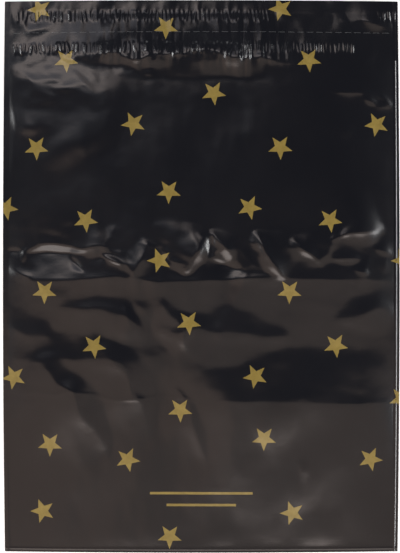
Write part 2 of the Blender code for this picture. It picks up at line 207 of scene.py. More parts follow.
# Distances from the bottom edge and from the side edges of the close rows and columns at the welds
BOTTOM_ROWS = (5.4, 4.2, 3.3, 2.7, 2.2, 1.7, 1.0, 0.0)
SIDE_COLUMNS = (0.0, 0.7, 1.4, 1.6, 2.0, 2.2, 2.4, 3.0, 4.0, 5.4)

# Camera straight above, in metres
CAMERA_HEIGHT = 1.2
VIEW_LENGTH = 0.3523
VIEW_CENTRE = (-0.0008, 0.0)
SENSOR = 36

# Floor, in metres, and its own light as the camera sees it
FLOOR_HALF = 4.0
FLOOR_HEIGHT = -0.00005
FLOOR_GLOW = 0.3

BAG_LENGTH = POUCH_LENGTH + FLAP_LENGTH
HALF_WIDTH = BAG_WIDTH / 2
HALF_LENGTH = BAG_LENGTH / 2
STAR_REPEAT_ACROSS = (BAG_WIDTH - FIRST_STAR_FROM_LEFT_EDGE + RIGHT_STAR_PAST_EDGE) / REPEATS_ACROSS
STAR_REPEAT_DOWN = (BAG_LENGTH - FIRST_STAR_T - BOTTOM_STAR_FROM_EDGE) / REPEATS_DOWN

# One repeat of the star pattern: name, shares of the repeat across and down, turn in degrees
STAR_MOTIF = (
    ("a", 0.0, 0.0, -16),
    ("b", 0.525, 0.075, -1),
    ("c", 0.114, 0.206, 4),
    ("d", 0.722, 0.338, 6),
    ("e", 0.392, 0.459, -10),
    ("f", 0.994, 0.553, 2),
    ("g", 0.538, 0.728, -1),
    ("h", 0.868, 0.791, 11),
    ("i", 0.198, 0.841, 6),
)

# Stars that stand off the regular pattern, by drop, copy across and name: shares of the repeat
# across and down. Below them, a place of the pattern that is empty on the bag.
STAR_SHIFTS = {
    (1, 0, "b"): (0.006, 0.049),
    (1, -1, "b"): (0.004, 0.049),
    (1, 0, "c"): (0.006, 0.041),
    (1, -1, "d"): (0.01, 0.002),
    (1, -1, "e"): (0.008, 0.007),
    (1, -1, "f"): (0.09, 0.04),
    (1, -1, "g"): (0.01, 0.003),
    (1, 0, "g"): (-0.11, -0.023),
    (2, -1, "a"): (0.015, -0.002),
    (2, 0, "a"): (0.047, 0.003),
    (2, -1, "b"): (0.015, 0.022),
}
STARS_LEFT_OUT = {(1, 0, "i")}

# Soft wrinkles: x, t, direction in degrees, half length, half width, height
SOFT_WRINKLES = (
    (-118, 7, 70, 6, 3, 0.7),
    (-116, 14, -30, 5, 3, 0.6),
    (-121, 22, 60, 6, 2.5, 0.5),
    (-104, 18, 10, 8, 2.5, 0.4),
    (-55, 42, 3, 16, 5, -0.7),
    (-80.5, 93, 30, 24, 9, 1.0),
    (-108, 77, -8, 14, 7, 0.7),
    (-58, 72, 80, 18, 8, 0.6),
    (-64, 200, -12, 24, 9, 0.5),
    (64, 235, 4, 50, 10, 0.3),
    (79, 152, 3, 22, 6, 0.6),
)

# Creases, with a sharp crest and an almost straight slope on each side. Negative ones are valleys.
# x, t, direction in degrees, half length, bend, reach above, reach below, height
FLAP_CREASES = (
    (-98, 54, -9, 40, 0, 15, 60, 1.2),
    (128, 19.5, -12, 42, 0, 30, 8, 2.3),
)
SKIRT_CREASES = (
    (-44, 35.2, 0, 38, 0, 24, 8.5, 2.0),
    (25, 36, -7, 38, 0, 24, 11, 2.5),
    (-4, 35.4, 0, 34, 0, 22, 11, 1.0),
)
STREAK_CREASES = (
    (-92.5, 160, 0, 20, 0.5, 5, 30, -1.8),
    (-2.5, 160, 57, 17, 0, 34, 7.5, 2.5),
)
UPPER_CREASES = (
    (-110.5, 80.5, -10, 9.5, 0, 3.5, 5.5, 0.6),
    (98, 58, -4, 20, 0, 3, 3, 0.55),
    (119, 64.5, -50, 9, 0, 3, 3, 0.9),
    (107, 63, -25, 5, 0, 3, 4, 0.8),
    (115, 66, 10, 7, 0, 3, 5, 0.7),
    (91.5, 82.5, 25, 6, 0, 3, 4, 0.5),
    (-119.5, 69, -82, 16.5, 0.5, 3, 3, 0.5),
    (-120.5, 110.5, 85, 28.5, 0, 3, 3, 0.5),
)
FOLD_CREASES = (
    (-121, 160, 5, 8, 0, 2.5, 4, -0.9),
    (-112, 161, 80, 5, 0, 2.5, 2.5, 0.6),
    (-117.5, 169.5, -25, 13, -1.5, 5, 4, 0.9),
    (-69, 158.5, 6, 13, 2.5, 22, 7, 1.5),
    (-55.5, 164, -28, 8, -1, 3, 2, 0.9),
    (-78, 167.5, -50, 7, 0, 3, 3, -0.9),
    (-38, 165, 62, 13, 0, 8, 9, 1.5),
    (6.5, 156, 76, 9, 0, 2, 3, -0.9),
    (16, 168, -15, 13, 0, 7, 40, -1.6),
    (13, 154.5, -57, 12, 0, 8, 5, 1.5),
    (42.5, 162, -58, 18, -0.5, 16, 7, 2.7),
    (66, 160, -41, 14, 0, 12, 6, 1.6),
    (88.5, 148.5, 25, 8, 0, 5, 3, 0.7),
    (90.5, 164, 0, 10, 0, 6, 4, 0.9),
    (100, 171.5, -10, 6, 0, 4, 3, 0.6),
    (102, 147, 6, 14, 0.5, 22, 7, 1.9),
    (116, 159, -18, 8, 0, 6, 3, 0.9),
    (32.5, 175, 3, 11, 0, 2, 2, 0.3),
)
LOWER_CREASES = (
    (-116, 209, -14, 26, 0, 13, 14, 1.05),
    (-90, 227.5, 0, 66, 0, 17, 62, 1.5),
    (-62, 199.5, -10, 30, 3, 11, 20, 0.85),
    (-42, 206, -58, 13, 0, 7, 14, 0.7),
    (-31.5, 195, -10, 12, 0, 6, 8, 0.5),
    (-15, 207, -55, 20, 0, 11, 14, 1.3),
    (14, 211.5, -2, 42, 0, 16.5, 22, 1.6),
    (76, 255, -1.5, 90, 0, 36, 110, 1.5),
    (-60, 250.5, -3, 85, 0, 1.8, 1.8, 0.14),
    (-82, 256, -52, 38, 4, 14, 64, 2.2),
    (-50, 242, -58, 38, 5, 13, 30, 1.7),
    (-6, 267, -68, 26, 0, 8, 20, 0.8),
    (108, 198, 14, 26, 0, 13, 14, 1.4),
    (66.5, 297.5, 15, 5, 0, 3.5, 5, 0.6),
    (120.5, 306.5, -5, 8, 0, 4.5, 5, 0.8),
    (45, 261.5, 5, 16, 0, 5, 30, 0.5),
)

# Random undulation: wave length, height, seed. The first three shape the film, the streaks vary
# the height of the skirt creases across the flap, and the wander bends the creases sideways.
WIDE_CRINKLE = (42.0, 0.1, 3)
FINE_CRINKLE = (11.0, 0.02, 5)
FLAP_CRINKLE = (17.0, 0.12, 9)
FLAP_STREAKS = (6.0, 0.13, 12)
CREASE_WANDER_X = (24.0, 1.3, 21)
CREASE_WANDER_T = (24.0, 1.1, 22)
CRINKLE_WAVES = 16
CRINKLE_LENGTHS = (0.7, 1.5)

# Where the undulation grows and fades
FLAP_CRINKLE_LIFT = 0.5
FLAP_CRINKLE_FADE = 12
FOLD_CRINKLE = 1.5
FOLD_CRINKLE_SPREAD = 16

# Share of the wander, width and hollowness of the creases near the packing fold and of the skirt
FOLD_WANDER = 0.35
FOLD_REACH = 1.6
FOLD_POWER = 2.1
SKIRT_REACH = 1.5
SKIRT_POWER = 1.8

# Small random creases: count, left, right, upper and lower end, greatest turn, reach and height, seed
SMALL_FOLD_CREASES = (30, -58, 122, 148, 174, 75, 5.5, 0.45, 31)
SMALL_LOWER_CREASES = (30, -118, 118, 190, 338, 80, 9.0, 0.1, 33)
SMALL_UPPER_CREASES = (16, -118, 118, 60, 140, 80, 9.0, 0.16, 34)
SMALL_FLAP_CREASES = (22, -118, -30, 36, 54, 50, 5.0, 0.24, 35)

# Least and greatest size of a small crease, and its half length and lower reach as shares of its reach
SMALL_SIZES = (0.35, 1.0)
SMALL_LENGTHS = (1.5, 3.0)
SMALL_LOWER_REACHES = (0.6, 1.4)
SMALL_BEND = 1

# Lights that hang level and face straight down: name, place, size, radiance, colour, in metres
LEVEL_LIGHTS = (
    ("warm_panel", (0, -0.47, 1.5), (2.4, 0.8), 0.55, (1.0, 0.8, 0.65)),
    ("warm_left", (-0.72, -0.47, 1.51), (1.2, 0.8), 0.3, (1.0, 0.62, 0.45)),
    ("warm_right", (0.72, -0.47, 1.51), (1.2, 0.8), 0.07, (1.0, 0.6, 0.45)),
    ("front_softbox", (0, -1.17, 1.5), (2.0, 0.6), 4.2, (1.0, 0.88, 0.82)),
    ("facet_softbox", (0, -0.785, 1.48), (2.4, 0.17), 2.4, (1.0, 0.86, 0.8)),
    ("front_left", (-1.5, -1.0, 1.5), (1.0, 0.9), 1.8, (1.0, 0.88, 0.84)),
    ("front_right", (1.5, -1.0, 1.5), (1.0, 0.9), 1.8, (1.0, 0.88, 0.84)),
    ("upper_dim", (-0.065, 0.8, 1.5), (0.17, 0.68), 1.3, (1.0, 0.86, 0.8)),
    ("upper_softbox", (-0.55, 0.58, 1.5), (0.8, 0.24), 3.1, (1.0, 0.86, 0.8)),
    ("high_softbox", (-0.55, 0.92, 1.5), (0.8, 0.44), 1.1, (0.95, 0.92, 1.0)),
    ("cool_panel", (-0.55, 0.37, 1.5), (0.9, 0.18), 0.4, (0.8, 0.88, 1.0)),
)

# White lights that face the middle of the bag: name, place, size, radiance
TILTED_LIGHTS = (
    ("left_panel", (-1.45, 0.2, 1.15), (1.6, 0.35), 4.0),
    ("right_panel", (1.45, 0.2, 1.15), (1.6, 0.35), 4.0),
    ("right_strip", (1.35, 0.0, 1.15), (1.6, 0.08), 24.0),
    ("left_strip", (-1.35, 0.3, 1.15), (1.2, 0.08), 14.0),
    ("back_panel", (0, 2.2, 0.9), (2.2, 1.0), 1.6),
)
WHITE = (1, 1, 1)
SKY_COLOUR = (0.74, 0.82, 1.0, 1)
SKY_STRENGTH = 0.1

# Noise shares between which a material goes from its first to its second value
RAMP_START = 0.3
RAMP_END = 0.7


def smooth_step(value):
    share = np.clip(value, 0, 1)
    return share * share * (3 - 2 * share)


def laid_out(x, t):
    """Where a place on the flat sheet lies, in millimetres: both pairs of edges bow slightly."""
    side = 1 + SIDE_BOW / HALF_WIDTH * (1 - ((t - HALF_LENGTH) / HALF_LENGTH) ** 2)
    end = 1 + END_BOW / HALF_LENGTH * (1 - (x / HALF_WIDTH) ** 2)
    return x * side, (HALF_LENGTH - t) * end


def loft_across(x):
    share = np.clip(np.abs(x) / (HALF_WIDTH - WELD_INSET), 0, 1)
    return 1 - share**PILLOW_POWER


def weld_ease(x):
    """Wrinkles run on almost to the side welds."""
    share = np.clip(np.abs(x) / (HALF_WIDTH - WELD_INSET), 0, 1)
    return 1 - share**WELD_POWER


def loft_down(t):
    """Height of the middle line: up the flap, on to the packing fold, then down to the bottom."""
    ease_end = FLAP_LENGTH + MOUTH_EASE
    bottom_weld = BAG_LENGTH - WELD_INSET
    left = np.clip((ease_end - t) / (ease_end - FLAP_REST), 0, 1)
    flap = MOUTH_LOFT * (1 - left * left)
    upper = MOUTH_LOFT + (CREASE_LOFT - MOUTH_LOFT) * (t - ease_end) / (CREASE_T - ease_end)
    lower = CREASE_LOFT * np.clip((bottom_weld - t) / (bottom_weld - CREASE_T), 0, 1)
    return np.where(t <= ease_end, flap, np.where(t <= CREASE_T, upper, lower))


def low_crease_line(x):
    return LOW_CREASE_T + LOW_CREASE_SLANT * x / BAG_WIDTH


def slope_sides(distance, above, below, power=CREASE_POWER):
    """One on a crest, falling to nothing on each side: almost straight, or hollow at higher power."""
    share = 1 - np.where(distance > 0, distance / above, -distance / below)
    return np.clip(share, 0, 1) ** power


def fold_ridges(x, t):
    middle = CREASE_T + np.interp(x, CREASE_DRIFT_X, CREASE_DRIFT_T)
    crease = CREASE_RIDGE * np.exp(-np.abs(t - middle) / CREASE_SPREAD)
    above_line = low_crease_line(x) - t
    start = LOW_CREASE_START + LOW_CREASE_LEAN * np.clip(above_line - LEAN_PIVOT, LEAN_LEAST, LEAN_MOST)
    growth = smooth_step((x + start) / LOW_CREASE_GROWTH)
    sides = slope_sides(above_line, LOW_CREASE_ABOVE, LOW_CREASE_BELOW)
    return crease + LOW_CREASE_RIDGE * growth * sides


def mouth_valley(x, t):
    along = np.abs(x + MOUTH_VALLEY_LEFT) / MOUTH_VALLEY_LENGTH
    ends = 1 - smooth_step((along - MOUTH_VALLEY_FULL) / (1 - MOUTH_VALLEY_FULL))
    return MOUTH_VALLEY * ends * slope_sides(FLAP_LENGTH - t, MOUTH_VALLEY_ABOVE, MOUTH_VALLEY_BELOW)


def soft_wrinkle(x, t, centre_x, centre_t, degrees, half_length, half_width, height):
    turn = math.radians(degrees)
    right = x - centre_x
    up = centre_t - t
    along = (right * math.cos(turn) + up * math.sin(turn)) / half_length
    aside = (up * math.cos(turn) - right * math.sin(turn)) / half_width
    return height * np.exp(-along * along - aside * aside)


def crease(x, t, centre_x, centre_t, degrees, half_length, bend, above, below, height,
           widen=1.0, power=CREASE_POWER):
    """A ridge or valley that narrows and sinks towards both ends."""
    turn = math.radians(degrees)
    right = x - centre_x
    up = centre_t - t
    along = (right * math.cos(turn) + up * math.sin(turn)) / half_length
    taper = np.clip(1 - along * along, 0, 1)
    narrow = widen * (CREASE_END_WIDTH + (1 - CREASE_END_WIDTH) * taper)
    aside = up * math.cos(turn) - right * math.sin(turn) - bend * taper
    return height * taper * slope_sides(aside / narrow, above, below, power)


def crinkle(x, t, wave_length, height, seed):
    """Random undulation made of plane waves in all directions."""
    draws = np.random.RandomState(seed)
    total = np.zeros_like(x)
    for _ in range(CRINKLE_WAVES):
        turn = draws.uniform(0, 2 * math.pi)
        number = 2 * math.pi / (wave_length * draws.uniform(*CRINKLE_LENGTHS))
        start = draws.uniform(0, 2 * math.pi)
        total += np.sin(number * (x * math.cos(turn) + t * math.sin(turn)) + start)
    return height * total / math.sqrt(CRINKLE_WAVES / 2)


def small_creases(count, left, right, upper, lower, turn, reach, height, seed):
    """Rows for random creases inside a rectangle, with sizes that vary threefold."""
    draws = np.random.RandomState(seed)
    rows = ()
    for _ in range(count):
        size = draws.uniform(*SMALL_SIZES)
        rows += ((
            draws.uniform(left, right),
            draws.uniform(upper, lower),
            draws.uniform(-turn, turn),
            size * reach * draws.uniform(*SMALL_LENGTHS),
            draws.uniform(-SMALL_BEND, SMALL_BEND),
            size * reach,
            size * reach * draws.uniform(*SMALL_LOWER_REACHES),
            size * height,
        ),)
    return rows


def wrinkle_height(x, t):
    """All wrinkles and creases of the film, without folds and puckers, in millimetres."""
    total = np.zeros_like(x)
    for row in SOFT_WRINKLES:
        total += soft_wrinkle(x, t, *row)
    bent_x = x + crinkle(x, t, *CREASE_WANDER_X)
    bent_t = t + crinkle(x, t, *CREASE_WANDER_T)
    streaks = 1 + crinkle(x, np.zeros_like(t), *FLAP_STREAKS)
    for row in SKIRT_CREASES:
        total += streaks * crease(bent_x, bent_t, *row, SKIRT_REACH, SKIRT_POWER)
    for row in FLAP_CREASES + LOWER_CREASES:
        total += crease(bent_x, bent_t, *row)
    for group in (SMALL_FLAP_CREASES, SMALL_LOWER_CREASES, SMALL_UPPER_CREASES):
        for row in small_creases(*group):
            total += crease(bent_x, bent_t, *row)
    fold_x = x + (bent_x - x) * FOLD_WANDER
    fold_t = t + (bent_t - t) * FOLD_WANDER
    for row in STREAK_CREASES:
        total += crease(fold_x, fold_t, *row)
    for row in UPPER_CREASES + FOLD_CREASES + small_creases(*SMALL_FOLD_CREASES):
        total += crease(fold_x, fold_t, *row, FOLD_REACH, FOLD_POWER)
    below_flap = smooth_step((t - FLAP_MESH_END) / FLAP_CRINKLE_FADE)
    flap_lift = FLAP_CRINKLE_LIFT * FLAP_CRINKLE[1]
    total += (1 - below_flap) * np.maximum(0, crinkle(x, t, *FLAP_CRINKLE) + flap_lift)
    total += below_flap * crinkle(x, t, *WIDE_CRINKLE)
    from_fold = (t - CREASE_T + FOLD_CRINKLE_SPREAD) / FOLD_CRINKLE_SPREAD
    near_fold = 1 + FOLD_CRINKLE * np.exp(-(from_fold**2))
    total += below_flap * near_fold * crinkle(x, t, *FINE_CRINKLE)
    return total


def drape(x, t):
    """Underside of the front sheet with its folds and wrinkles, without puckers."""
    flap_stack = LINER + SEAT + ADHESIVE + SEAT
    pouch_stack = FILM + SEAT
    stack = flap_stack + (pouch_stack - flap_stack) * smooth_step((t - FLAP_LENGTH) / STACK_EASE)
    free = smooth_step((BAG_LENGTH - WELD_INSET - t) / FLAP_REST)
    soft = loft_down(t) - mouth_valley(x, t) + free * fold_ridges(x, t)
    return stack + loft_across(x) * soft + weld_ease(x) * free * wrinkle_height(x, t)


def pucker_height(x, t):
    """Irregular short ridges over the two strips of adhesive."""
    draws = np.random.RandomState(PUCKER_SEED)
    total = np.zeros_like(x)
    reach = ADHESIVE_WIDTH / 2
    for middle, left, right in PUCKER_BANDS:
        inside = smooth_step((reach + PUCKER_FADE - np.abs(t - middle)) / (2 * PUCKER_FADE))
        near = np.nonzero(inside > 0)[0]
        place = left
        while place < right:
            place += PUCKER_PITCH * draws.uniform(*PUCKER_PITCHES)
            width = PUCKER_WIDTH * draws.uniform(*PUCKER_WIDTHS)
            height = PUCKER_HEIGHT * draws.uniform(*PUCKER_HEIGHTS)
            slant = draws.uniform(-PUCKER_SLANT, PUCKER_SLANT)
            shift = draws.uniform(-PUCKER_SHIFT, PUCKER_SHIFT)
            aside = (x[near] - place - slant * (t[near] - middle)) / width
            along = (t[near] - middle - shift) / (reach * PUCKER_WINDOW)
            window = np.exp(-(along**PUCKER_WINDOW_POWER))
            total[near] += height * np.exp(-aside * aside) * window
    return total


def weld_bead(x, t):
    """The ridge of melted film along the sides and the bottom, highest on the right."""
    height = np.where(x > 0, BEAD_RIGHT, BEAD_LEFT)
    side = height * np.clip(1 - np.abs(HALF_WIDTH - WELD_INSET - np.abs(x)) / BEAD_WIDTH, 0, 1)
    bottom = BEAD_LEFT * np.clip(1 - np.abs(BAG_LENGTH - WELD_INSET - t) / BEAD_WIDTH, 0, 1)
    return np.maximum(side, bottom)


def gathers(x, t):
    """Soft ridges that run out of the puckers on to the free film beside the strips."""
    draws = np.random.RandomState(GATHER_SEED)
    total = np.zeros_like(x)
    for middle, left, right in GATHER_BANDS:
        place = left
        while place < right:
            place += GATHER_PITCH * draws.uniform(*GATHER_PITCHES)
            width = GATHER_WIDTH * draws.uniform(*GATHER_WIDTHS)
            height = GATHER_HEIGHT * draws.uniform(*GATHER_HEIGHTS)
            slant = draws.uniform(-GATHER_SLANT, GATHER_SLANT)
            shift = draws.uniform(-GATHER_SHIFT, GATHER_SHIFT)
            aside = (x - place - slant * (t - middle)) / width
            along = (t - middle - shift) / GATHER_REACH
            total += height * np.exp(-aside * aside - along * along)
    return total


def film_height(x, t):
    """Underside of the front sheet with all that shows on it, in millimetres."""
    return drape(x, t) + pucker_height(x, t) + gathers(x, t) + weld_bead(x, t)


def near_side_columns(step):
    """Column places with closer ones at the side welds."""
    inner = HALF_WIDTH - SIDE_COLUMNS[-1]
    count = round(2 * inner / step)
    middle = [-inner + 2 * inner * i / count for i in range(count + 1)]
    left = [-HALF_WIDTH + e for e in SIDE_COLUMNS[:-1]]
    right = [HALF_WIDTH - e for e in reversed(SIDE_COLUMNS[:-1])]
    return np.array(left + middle + right)


def perforation_start():
    """Left end of the first cut, and the number of cuts."""
    pitch = PERFORATION_CUT + PERFORATION_TIE
    count = int((BAG_WIDTH - 2 * PERFORATION_END + PERFORATION_TIE) / pitch)
    return -(count * pitch - PERFORATION_TIE) / 2, count


def flap_columns():
    """Column places of the flap, in step with the ends of the cuts."""
    start, _ = perforation_start()
    before = int((start + HALF_WIDTH - FLAP_COLUMN_MARGIN) / FLAP_COLUMN)
    first = start - before * FLAP_COLUMN
    count = int((HALF_WIDTH - FLAP_COLUMN_MARGIN - first) / FLAP_COLUMN)
    inner = [first + i * FLAP_COLUMN for i in range(count + 1)]
    return np.array([-HALF_WIDTH] + inner + [HALF_WIDTH])


def spaced(start, end, step):
    count = max(1, round((end - start) / step))
    return [start + (end - start) * i / count for i in range(count + 1)]


def flap_rows():
    half_slot = PERFORATION_WIDTH / 2
    rows = FREE_EDGE_ROWS + spaced(*RETURN_STRIP_ROWS, STRIP_ROW_STEP) + ABOVE_SLOT_ROWS
    rows += [PERFORATION_T - half_slot, PERFORATION_T + half_slot]
    return rows + BELOW_SLOT_ROWS + spaced(*CLOSING_STRIP_ROWS, STRIP_ROW_STEP) + FLAP_FOOT_ROWS


def pouch_rows():
    rows = [POUCH_MESH_START]
    for start, end, step in POUCH_ROWS:
        rows += spaced(start, end, step)[1:]
    return rows + [BAG_LENGTH - e for e in BOTTOM_ROWS]


def front_sheet_grid():
    """Places and triangles of the front sheet: fine columns on the flap, wider ones below."""
    fine = flap_columns()
    wide = near_side_columns(POUCH_STEP)
    starts = []
    xs = []
    ts = []
    rows = [(t, fine) for t in flap_rows()] + [(t, wide) for t in pouch_rows()]
    for t, columns in rows:
        starts.append(len(xs))
        xs.extend(columns)
        ts.extend([t] * len(columns))
    slot_start, slot_count = perforation_start()
    slot_row = flap_rows().index(PERFORATION_T - PERFORATION_WIDTH / 2)
    pitch = PERFORATION_CUT + PERFORATION_TIE
    faces = []
    for row in range(len(rows) - 1):
        a = starts[row]
        b = starts[row + 1]
        if len(rows[row][1]) == len(rows[row + 1][1]):
            for i in range(len(rows[row][1]) - 1):
                if row == slot_row:
                    middle = (xs[a + i] + xs[a + i + 1]) / 2 - slot_start
                    along = middle % pitch
                    if 0 < middle < slot_count * pitch and along < PERFORATION_CUT:
                        continue
                faces.append((a + i, b + i, b + i + 1, a + i + 1))
        else:
            faces += zipped(a, rows[row][1], b, rows[row + 1][1])
    return np.array(xs), np.array(ts), faces


def zipped(a, upper, b, lower):
    """Triangles between two rows with different columns."""
    i = 0
    j = 0
    faces = []
    while i < len(upper) - 1 or j < len(lower) - 1:
        if j == len(lower) - 1 or (i < len(upper) - 1 and upper[i + 1] <= lower[j + 1]):
            faces.append((a + i, b + j, a + i + 1))
            i += 1
        else:
            faces.append((a + i, b + j, b + j + 1))
            j += 1
    return faces


def closed_sheet(name, xs, ts, faces, underside, thickness):
    """A closed sheet over flat places and faces, its underside at the heights given."""
    place_x, place_y = laid_out(xs, ts)
    low = np.stack([place_x, place_y, underside], 1) * MM
    high = np.stack([place_x, place_y, underside + thickness], 1) * MM
    count = len(xs)
    points = np.concatenate([high, low])
    all_faces = [tuple(face) for face in faces]
    all_faces += [tuple(count + i for i in reversed(face)) for face in faces]
    open_edges = {}
    for face in faces:
        for start, end in zip(face, face[1:] + face[:1]):
            if (end, start) in open_edges:
                del open_edges[(end, start)]
            else:
                open_edges[(start, end)] = True
    all_faces += [(start, count + start, count + end, end) for start, end in open_edges]
    mesh = bpy.data.meshes.new(name)
    mesh.from_pydata(points.tolist(), [], all_faces)
    mesh.validate()
    mesh.shade_smooth()
    mesh.set_sharp_from_angle(angle=math.radians(SHARP_ANGLE))
    item = bpy.data.objects.new(name, mesh)
    bpy.context.scene.collection.objects.link(item)
    return item


def star_loop(centre_x, centre_t, degrees):
    loop = []
    half_turn = 180 / STAR_POINTS
    for index in range(2 * STAR_POINTS):
        radius = STAR_WAIST if index % 2 else STAR_RADIUS
        angle = math.radians(-90 + degrees + half_turn * index)
        loop.append((centre_x + radius * math.cos(angle), centre_t - radius * math.sin(angle)))
    return loop


def star_places():
    """Centre and turn of every star that shows."""
    drops = int(BAG_LENGTH / STAR_REPEAT_DOWN) + 1
    columns = int(BAG_WIDTH / STAR_REPEAT_ACROSS) + 2
    places = []
    for drop in range(drops):
        for letter, across, down, turn in STAR_MOTIF:
            for column in range(-columns, columns):
                if (drop, column, letter) in STARS_LEFT_OUT:
                    continue
                shift_across, shift_down = STAR_SHIFTS.get((drop, column, letter), (0.0, 0.0))
                repeats_across = across + drop / 2 + column + shift_across
                repeats_down = down + drop + shift_down
                x = FIRST_STAR_FROM_LEFT_EDGE - HALF_WIDTH + repeats_across * STAR_REPEAT_ACROSS
                t = FIRST_STAR_T + repeats_down * STAR_REPEAT_DOWN
                if abs(x) > HALF_WIDTH + STAR_OVERRUN or t > BAG_LENGTH + STAR_OVERRUN:
                    continue
                places.append((x, t, turn))
    return places


def cut_at_line(loop, axis, limit, sign):
    """The part of a loop on one side of a line across x or t."""
    result = []
    for start, end in zip(loop, loop[1:] + loop[:1]):
        keep_start = sign * (limit - start[axis]) > 0
        keep_end = sign * (limit - end[axis]) > 0
        if keep_start:
            result.append(start)
        if keep_start != keep_end:
            share = (limit - start[axis]) / (end[axis] - start[axis])
            result.append(tuple(s + share * (e - s) for s, e in zip(start, end)))
    return result


def cut_to_sheet(loop):
    side = HALF_WIDTH - PRINT_EDGE_GAP
    loop = cut_at_line(loop, 0, side, 1)
    loop = cut_at_line(loop, 0, -side, -1)
    loop = cut_at_line(loop, 1, PRINT_EDGE_GAP, -1)
    return cut_at_line(loop, 1, BAG_LENGTH - PRINT_EDGE_GAP, 1)


def inside_loop(x, t, loop):
    inside = False
    for (x1, t1), (x2, t2) in zip(loop, loop[1:] + loop[:1]):
        if (t1 > t) != (t2 > t) and x < (x2 - x1) * (t - t1) / (t2 - t1) + x1:
            inside = not inside
    return inside


def filled(loop, step):
    """Places and triangles inside a loop, with points about one step apart."""
    border = []
    for start, end in zip(loop, loop[1:] + loop[:1]):
        length = math.dist(start, end)
        count = max(1, round(length / step))
        for i in range(count):
            share = i / count
            x = start[0] + share * (end[0] - start[0])
            t = start[1] + share * (end[1] - start[1])
            border.append((x, t))
    xs = [p[0] for p in loop]
    ts = [p[1] for p in loop]
    inner = []
    row = 0
    t = min(ts) + step / 2
    while t < max(ts):
        x = min(xs) + step / 2 * (row % 2)
        while x < max(xs):
            far = min(math.dist((x, t), p) for p in border) > step * POINT_CLEARANCE
            if far and inside_loop(x, t, loop):
                inner.append((x, t))
            x += step
        t += step * POINT_ROW
        row += 1
    edges = [(i, (i + 1) % len(border)) for i in range(len(border))]
    flat = [Vector(p) for p in border + inner]
    found, _, faces, _, _, _ = delaunay_2d_cdt(flat, edges, [], 1, 1e-5)
    return [(p.x, p.y) for p in found], [tuple(face) for face in faces]


def printed_on(name, loops, film_tree):
    """Thin print over the film: each loop filled, and laid on the film's own mesh."""
    xs = []
    ts = []
    faces = []
    for loop in loops:
        found, triangles = filled(loop, STAR_GRID)
        first = len(xs)
        xs += [p[0] for p in found]
        ts += [p[1] for p in found]
        for a, b, c in triangles:
            ax, at = found[a]
            bx, bt = found[b]
            cx, ct = found[c]
            turn = (bx - ax) * (ct - at) - (bt - at) * (cx - ax)
            corners = (a, c, b) if turn > 0 else (a, b, c)
            faces.append(tuple(first + i for i in corners))
    xs = np.array(xs)
    ts = np.array(ts)
    place_x, place_y = laid_out(xs, ts)
    heights = []
    for x, y in zip(place_x, place_y):
        hit, _, _, _ = film_tree.ray_cast(Vector((x * MM, y * MM, RAY_START)), Vector((0, 0, -1)))
        heights.append(hit.z / MM if hit else 0.0)
    return closed_sheet(name, xs, ts, faces, np.array(heights) + PRINT_LIFT, PRINT)


def rule_loop(length, from_bottom):
    middle = BAG_LENGTH - from_bottom
    half = RULE_THICKNESS / 2
    side = length / 2
    return [(-side, middle - half), (side, middle - half), (side, middle + half), (-side, middle + half)]


def new_material(name):
    material = bpy.data.materials.new(name)
    material.use_nodes = True
    nodes = material.node_tree.nodes
    return material, nodes, material.node_tree.links, nodes["Principled BSDF"]


def noise_node(nodes, links, coordinate, scale, detail, roughness=0.5):
    noise = nodes.new("ShaderNodeTexNoise")
    noise.inputs["Scale"].default_value = scale
    noise.inputs["Detail"].default_value = detail
    noise.inputs["Roughness"].default_value = roughness
    links.new(coordinate, noise.inputs["Vector"])
    return noise


def ramp_to(nodes, links, source, first, second, target):
    """Feed a value or colour that noise moves between two ends."""
    ramp = nodes.new("ShaderNodeValToRGB")
    elements = ramp.color_ramp.elements
    elements[0].position = RAMP_START
    elements[0].color = first
    elements[1].position = RAMP_END
    elements[1].color = second
    links.new(source, ramp.inputs["Fac"])
    links.new(ramp.outputs["Color"], target)


def bump_node(nodes, links, source, strength, distance):
    bump = nodes.new("ShaderNodeBump")
    bump.inputs["Strength"].default_value = strength
    bump.inputs["Distance"].default_value = distance
    links.new(source, bump.inputs["Height"])
    return bump


def grey(value):
    return (value, value, value, 1)


def film_material():
    """Glossy black polyethylene: near black, with faint clouds, haze and fine crinkle."""
    material, nodes, links, shader = new_material("black_film_looks")
    where = nodes.new("ShaderNodeTexCoord").outputs["Object"]
    cloud = noise_node(nodes, links, where, scale=18, detail=4).outputs["Fac"]
    dark = (0.0034, 0.0036, 0.0054, 1)
    light = (0.005, 0.0052, 0.0072, 1)
    ramp_to(nodes, links, cloud, dark, light, shader.inputs["Base Color"])
    haze = noise_node(nodes, links, where, scale=30, detail=5).outputs["Fac"]
    ramp_to(nodes, links, haze, grey(0.155), grey(0.205), shader.inputs["Roughness"])
    crinkle_noise = noise_node(nodes, links, where, scale=90, detail=3, roughness=0.6).outputs["Fac"]
    grain = noise_node(nodes, links, where, scale=900, detail=2).outputs["Fac"]
    crinkle_bump = bump_node(nodes, links, crinkle_noise, strength=0.12, distance=0.0006)
    grain_bump = bump_node(nodes, links, grain, strength=0.05, distance=0.0001)
    links.new(crinkle_bump.outputs["Normal"], grain_bump.inputs["Normal"])
    links.new(grain_bump.outputs["Normal"], shader.inputs["Normal"])
    shader.inputs["IOR"].default_value = 1.52
    return material


